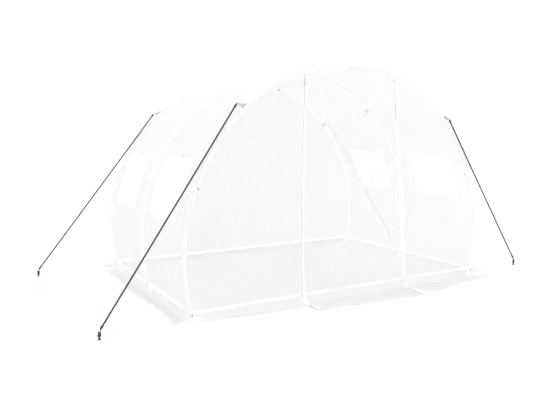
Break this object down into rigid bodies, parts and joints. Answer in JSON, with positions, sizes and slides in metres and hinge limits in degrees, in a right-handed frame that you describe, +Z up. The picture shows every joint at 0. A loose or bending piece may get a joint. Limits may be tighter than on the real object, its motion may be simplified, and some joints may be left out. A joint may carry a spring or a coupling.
{
  "type": "plastic greenhouse",
  "caption": "Walk-in tunnel greenhouse: curved steel hoops under a translucent film cover with a zipped door, net windows with flaps, ground flaps and pegged guy ropes.",
  "frame": {"origin": "on the ground, at the middle of the plan without the guy ropes and their pegs", "axes": "+X along the front from left to right as seen from outside the door, +Y from the front to the back, +Z up"},
  "size_m": [4.523, 2.7104, 2],
  "materials": {
    "tube": "powder-coated white",
    "film": "translucent film",
    "net": "fine open net",
    "zip": "woven tape",
    "slider": "dark enamel",
    "rope": "braided",
    "clip": "moulded",
    "peg": "moulded"
  },
  "bodies": {
    "greenhouse": {"front_hoop_left_leg": "tube", "front_hoop_left_bow": "tube", "front_hoop_right_leg": "tube", "front_hoop_right_bow": "tube", "middle_hoop_left_leg": "tube", "middle_hoop_left_bow": "tube", "middle_hoop_right_leg": "tube", "middle_hoop_right_bow": "tube", "back_hoop_left_leg": "tube", "back_hoop_left_bow": "tube", "back_hoop_right_leg": "tube", "back_hoop_right_bow": "tube", "front_base_bar": "tube", "back_base_bar": "tube", "left_front_base_bar": "tube", "left_back_base_bar": "tube", "right_front_base_bar": "tube", "right_back_base_bar": "tube", "ridge_purlin": "tube", "left_purlin": "tube", "right_purlin": "tube", "left_front_brace": "tube", "left_back_brace": "tube", "right_front_brace": "tube", "right_back_brace": "tube", "cover_left_wall": "film", "cover_right_wall": "film", "cover_roof": "film", "front_left_panel": "film", "front_right_panel": "film", "front_top_panel": "film", "back_wall": "film", "left_skirt": "film", "right_skirt": "film", "left_front_window_net": "net", "left_back_window_net": "net", "right_front_window_net": "net", "right_back_window_net": "net", "left_zip": "zip", "right_zip": "zip", "front_left_guy_rope": "rope", "front_right_guy_rope": "rope", "back_left_guy_rope": "rope", "back_right_guy_rope": "rope", "front_left_rope_clip": "clip", "front_right_rope_clip": "clip", "back_left_rope_clip": "clip", "back_right_rope_clip": "clip", "front_left_peg": "peg", "front_right_peg": "peg", "back_left_peg": "peg", "back_right_peg": "peg"},
    "door": {"door_panel": "film"},
    "left_slider": {"left_zip_slider": "slider"},
    "right_slider": {"right_zip_slider": "slider"},
    "left_front_window_flap": {"left_front_window_flap": "film"},
    "left_back_window_flap": {"left_back_window_flap": "film"},
    "right_front_window_flap": {"right_front_window_flap": "film"},
    "right_back_window_flap": {"right_back_window_flap": "film"}
  },
  "joints": [
    {"name": "door_lift", "type": "hinge", "parent": "greenhouse", "child": "door", "pos_m": [0, -1.0284, 1.85], "axis": [-1, 0, 0], "range_deg": [0, 90]},
    {"name": "left_zip_run", "type": "slide", "parent": "door", "child": "left_slider", "axis": [0.009, 0, 1], "range_m": [0, 1.7161]},
    {"name": "right_zip_run", "type": "slide", "parent": "door", "child": "right_slider", "axis": [-0.1007, 0, 0.9949], "range_m": [0, 1.7248]},
    {"name": "left_front_flap_lift", "type": "hinge", "parent": "greenhouse", "child": "left_front_window_flap", "pos_m": [-1.34448, -0.5075, 1.215], "axis": [0, 1, 0], "range_deg": [0, 90]},
    {"name": "left_back_flap_lift", "type": "hinge", "parent": "greenhouse", "child": "left_back_window_flap", "pos_m": [-1.34448, 0.5075, 1.215], "axis": [0, 1, 0], "range_deg": [0, 90]},
    {"name": "right_front_flap_lift", "type": "hinge", "parent": "greenhouse", "child": "right_front_window_flap", "pos_m": [1.34448, -0.5075, 1.215], "axis": [0, -1, 0], "range_deg": [0, 90]},
    {"name": "right_back_flap_lift", "type": "hinge", "parent": "greenhouse", "child": "right_back_window_flap", "pos_m": [1.34448, 0.5075, 1.215], "axis": [0, -1, 0], "range_deg": [0, 90]}
  ],
  "couplings": [
    {"joint": "left_zip_run", "follows": "door_lift", "m_per_rad": 1.0925},
    {"joint": "right_zip_run", "follows": "door_lift", "m_per_rad": 1.098}
  ]
}
